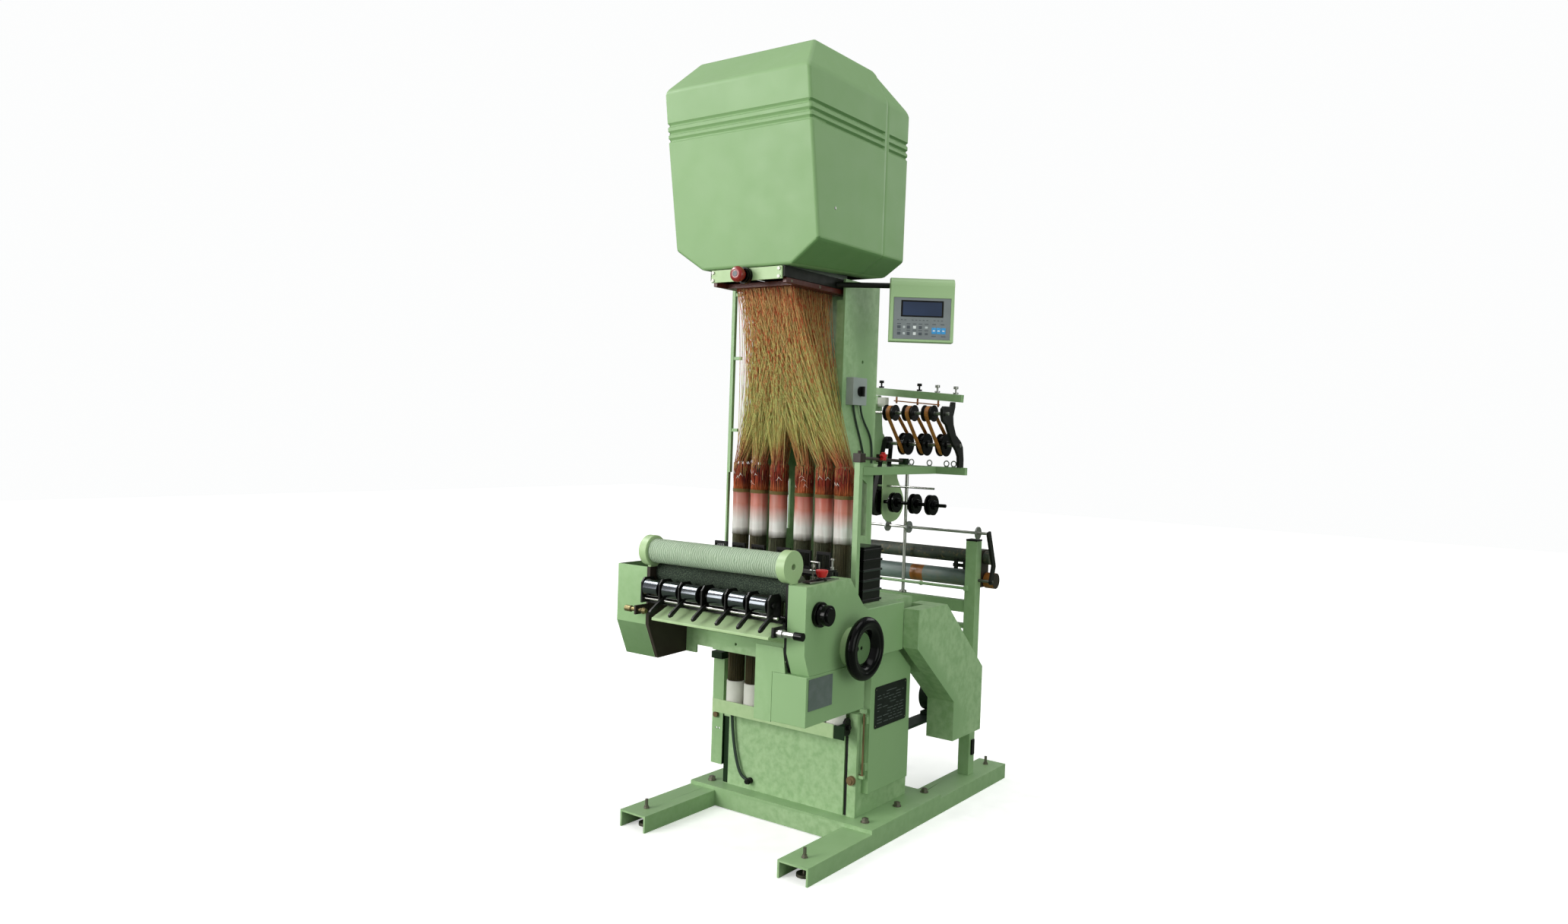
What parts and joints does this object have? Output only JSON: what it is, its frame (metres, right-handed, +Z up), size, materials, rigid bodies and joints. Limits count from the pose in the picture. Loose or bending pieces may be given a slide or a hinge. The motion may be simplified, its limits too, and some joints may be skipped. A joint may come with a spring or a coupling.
{
  "type": "power loom",
  "caption": "Tall narrow-fabric power loom with a jacquard head on a column, a fan of harness cords, take-up rollers, side handwheel, belt guard and rear yarn feeder.",
  "frame": {"origin": "centre of the overall footprint, on the floor", "axes": "+Z up; the weaver stands on the -Y side; +X to the weaver's right, where the handwheel is"},
  "size_m": [0.8073, 1.323, 2.262],
  "materials": {
    "frame_green": "satin",
    "hood_green": "satin",
    "panel_green": "satin",
    "black_metal": "satin",
    "bright_steel": "brushed",
    "chrome": "polished",
    "bare_alloy": "satin",
    "cast_grey": "matt",
    "black_plastic": "gloss",
    "red_plastic": "gloss",
    "white_plastic": "matt",
    "bakelite": "satin",
    "yarn_tan": "fibrous",
    "yarn_brown": "fibrous",
    "green_cloth": "woven",
    "grip_cloth": "coarse",
    "roller_cloth": "woven",
    "belt_rubber": "matt",
    "cable_rubber": "matt"
  },
  "bodies": {
    "frame": {"base_frame": "frame_green", "levelling_bolts": "bright_steel", "cabinet": "frame_green", "spring_trough": "frame_green", "side_housing": "frame_green", "takeup_casting": "frame_green", "side_plates": "black_metal", "left_bin": "frame_green", "lower_side_box": "frame_green", "breast_beam": "frame_green", "front_tray": "frame_green", "roller_end_caps": "frame_green", "spring_cups": "white_plastic", "heddle_bundles": "yarn_brown", "harness_cords": "yarn_tan", "harness_board": "bakelite", "column": "frame_green", "mount_frame": "black_metal", "hood_front": "hood_green", "hood_rear": "hood_green", "jacquard_frame": "bare_alloy", "panel_arm": "black_metal", "belt_cover": "frame_green", "drive_unit": "cast_grey", "rear_frame": "frame_green", "feeder_frame": "frame_green", "side_posts": "frame_green", "column_boxes": "black_metal", "belts": "belt_rubber", "cables": "cable_rubber"},
    "main_shaft": {"main_shaft": "bright_steel", "handwheel": "black_plastic"},
    "door": {"door": "frame_green"},
    "nip_rollers": {"nip_rollers": "chrome"},
    "draw_drum": {"draw_drum": "grip_cloth"},
    "cloth_roller": {"cloth_roller": "green_cloth"},
    "stop_rod": {"stop_rod": "bright_steel"},
    "clutch_knob": {"clutch_knob": "black_plastic"},
    "sley": {"sley": "bright_steel"},
    "weft_needles": {"weft_needles": "bright_steel"},
    "red_button": {"red_button": "red_plastic"},
    "estop_button": {"estop_button": "red_plastic"},
    "griffe_a": {"griffe_a": "bright_steel"},
    "griffe_b": {"griffe_b": "bright_steel"},
    "control_panel": {"control_panel": "panel_green"},
    "drive_pulley": {"drive_pulley": "cast_grey"},
    "motor_pulley": {"motor_pulley": "cast_grey"},
    "back_roller": {"back_roller": "roller_cloth"},
    "warp_roller": {"warp_roller": "green_cloth"},
    "tension_arm": {"tension_arm": "black_metal"},
    "feed_drums": {"feed_drums": "black_plastic"},
    "feed_wheels": {"feed_wheels": "black_plastic"},
    "disc_shaft": {"disc_shaft": "black_plastic"},
    "rotary_switch": {"rotary_switch": "black_plastic"},
    "release_lever_1": {"release_lever_1": "black_metal"},
    "release_lever_2": {"release_lever_2": "black_metal"},
    "release_lever_3": {"release_lever_3": "black_metal"},
    "release_lever_4": {"release_lever_4": "black_metal"},
    "release_lever_5": {"release_lever_5": "black_metal"},
    "release_lever_6": {"release_lever_6": "black_metal"}
  },
  "joints": [
    {"name": "main_shaft_spin", "type": "hinge", "parent": "frame", "child": "main_shaft", "pos_m": [-0.0436, -0.3585, 0.606], "axis": [1, 0, 0], "continuous": true},
    {"name": "drive_pulley_spin", "type": "hinge", "parent": "frame", "child": "drive_pulley", "pos_m": [0.2564, 0.0415, 0.6], "axis": [1, 0, 0], "continuous": true},
    {"name": "motor_spin", "type": "hinge", "parent": "frame", "child": "motor_pulley", "pos_m": [0.2564, 0.3465, 0.33], "axis": [1, 0, 0], "continuous": true},
    {"name": "draw_drum_spin", "type": "hinge", "parent": "frame", "child": "draw_drum", "pos_m": [-0.0436, -0.5135, 0.77], "axis": [1, 0, 0], "continuous": true},
    {"name": "cloth_roller_spin", "type": "hinge", "parent": "frame", "child": "cloth_roller", "pos_m": [-0.0436, -0.5685, 0.837], "axis": [1, 0, 0], "continuous": true},
    {"name": "nip_rollers_spin", "type": "hinge", "parent": "frame", "child": "nip_rollers", "pos_m": [-0.0436, -0.5985, 0.733], "axis": [1, 0, 0], "continuous": true},
    {"name": "clutch_knob_spin", "type": "hinge", "parent": "frame", "child": "clutch_knob", "pos_m": [0.2864, -0.5185, 0.713], "axis": [1, 0, 0], "continuous": true},
    {"name": "lever_1_lift", "type": "hinge", "parent": "frame", "child": "release_lever_1", "pos_m": [-0.2001, -0.6045, 0.702], "axis": [-1, 0, 0], "range_deg": [0, 35]},
    {"name": "lever_2_lift", "type": "hinge", "parent": "frame", "child": "release_lever_2", "pos_m": [-0.1271, -0.6045, 0.702], "axis": [-1, 0, 0], "range_deg": [0, 35]},
    {"name": "lever_3_lift", "type": "hinge", "parent": "frame", "child": "release_lever_3", "pos_m": [-0.0436, -0.6045, 0.702], "axis": [-1, 0, 0], "range_deg": [0, 35]},
    {"name": "lever_4_lift", "type": "hinge", "parent": "frame", "child": "release_lever_4", "pos_m": [0.0399, -0.6045, 0.702], "axis": [-1, 0, 0], "range_deg": [0, 35]},
    {"name": "lever_5_lift", "type": "hinge", "parent": "frame", "child": "release_lever_5", "pos_m": [0.1129, -0.6045, 0.702], "axis": [-1, 0, 0], "range_deg": [0, 35]},
    {"name": "lever_6_lift", "type": "hinge", "parent": "frame", "child": "release_lever_6", "pos_m": [0.1854, -0.6045, 0.702], "axis": [-1, 0, 0], "range_deg": [0, 35]},
    {"name": "stop_rod_slide", "type": "slide", "parent": "frame", "child": "stop_rod", "axis": [1, 0, 0], "range_m": [0, 0.015]},
    {"name": "sley_swing", "type": "hinge", "parent": "frame", "child": "sley", "pos_m": [-0.0436, -0.2965, 0.64], "axis": [1, 0, 0], "range_deg": [-8, 8]},
    {"name": "weft_needles_slide", "type": "slide", "parent": "frame", "child": "weft_needles", "axis": [1, 0, 0], "range_m": [-0.015, 0.015]},
    {"name": "red_button_press", "type": "slide", "parent": "frame", "child": "red_button", "axis": [0, 0, -1], "range_m": [0, 0.0025], "stiffness_N_per_m": 600, "springref_m": -0.003},
    {"name": "estop_press", "type": "slide", "parent": "frame", "child": "estop_button", "axis": [0, 1, 0], "range_m": [0, 0.0035], "stiffness_N_per_m": 600, "springref_m": -0.003},
    {"name": "griffe_a_lift", "type": "slide", "parent": "frame", "child": "griffe_a", "axis": [0, 0, 1], "range_m": [-0.03, 0.03]},
    {"name": "griffe_b_lift", "type": "slide", "parent": "frame", "child": "griffe_b", "axis": [0, 0, 1], "range_m": [-0.03, 0.03]},
    {"name": "panel_swivel", "type": "hinge", "parent": "frame", "child": "control_panel", "pos_m": [0.2544, -0.0942, 1.6], "axis": [0, 0, 1], "range_deg": [-5, 60]},
    {"name": "door_swing", "type": "hinge", "parent": "frame", "child": "door", "pos_m": [0.2184, -0.1735, 0.28], "axis": [0, 0, 1], "range_deg": [-105, 0]},
    {"name": "rotary_switch_turn", "type": "hinge", "parent": "frame", "child": "rotary_switch", "pos_m": [0.1264, -0.1225, 1.321], "axis": [1, 0, 0], "range_deg": [0, 90]},
    {"name": "feed_drums_spin", "type": "hinge", "parent": "frame", "child": "feed_drums", "pos_m": [-0.0436, 0.2655, 1.269], "axis": [1, 0, 0], "continuous": true},
    {"name": "feed_wheels_spin", "type": "hinge", "parent": "frame", "child": "feed_wheels", "pos_m": [-0.0436, 0.3715, 1.166], "axis": [1, 0, 0], "continuous": true},
    {"name": "disc_shaft_spin", "type": "hinge", "parent": "frame", "child": "disc_shaft", "pos_m": [-0.0436, 0.3265, 0.965], "axis": [1, 0, 0], "continuous": true},
    {"name": "back_roller_spin", "type": "hinge", "parent": "frame", "child": "back_roller", "pos_m": [-0.0436, 0.5315, 0.708], "axis": [1, 0, 0], "continuous": true},
    {"name": "warp_roller_spin", "type": "hinge", "parent": "frame", "child": "warp_roller", "pos_m": [-0.0436, 0.5195, 0.786], "axis": [1, 0, 0], "continuous": true},
    {"name": "tension_arm_swing", "type": "hinge", "parent": "frame", "child": "tension_arm", "pos_m": [-0.0436, 0.4715, 0.712], "axis": [1, 0, 0], "range_deg": [-3, 14]}
  ],
  "couplings": [
    {"joint": "drive_pulley_spin", "follows": "main_shaft_spin", "ratio": 1},
    {"joint": "motor_spin", "follows": "main_shaft_spin", "ratio": 1.8333},
    {"joint": "draw_drum_spin", "follows": "main_shaft_spin", "ratio": 0.1},
    {"joint": "cloth_roller_spin", "follows": "main_shaft_spin", "ratio": 0.1143},
    {"joint": "nip_rollers_spin", "follows": "main_shaft_spin", "ratio": -0.16},
    {"joint": "clutch_knob_spin", "follows": "main_shaft_spin", "ratio": -0.1},
    {"joint": "feed_drums_spin", "follows": "main_shaft_spin", "ratio": 0.15},
    {"joint": "feed_wheels_spin", "follows": "main_shaft_spin", "ratio": 0.1069},
    {"joint": "disc_shaft_spin", "follows": "main_shaft_spin", "ratio": 0.0513},
    {"joint": "back_roller_spin", "follows": "main_shaft_spin", "ratio": -0.1379},
    {"joint": "warp_roller_spin", "follows": "main_shaft_spin", "ratio": 0.1667},
    {"joint": "weft_needles_slide", "follows": "sley_swing", "m_per_rad": 0.1},
    {"joint": "griffe_b_lift", "follows": "griffe_a_lift", "ratio": -1}
  ]
}
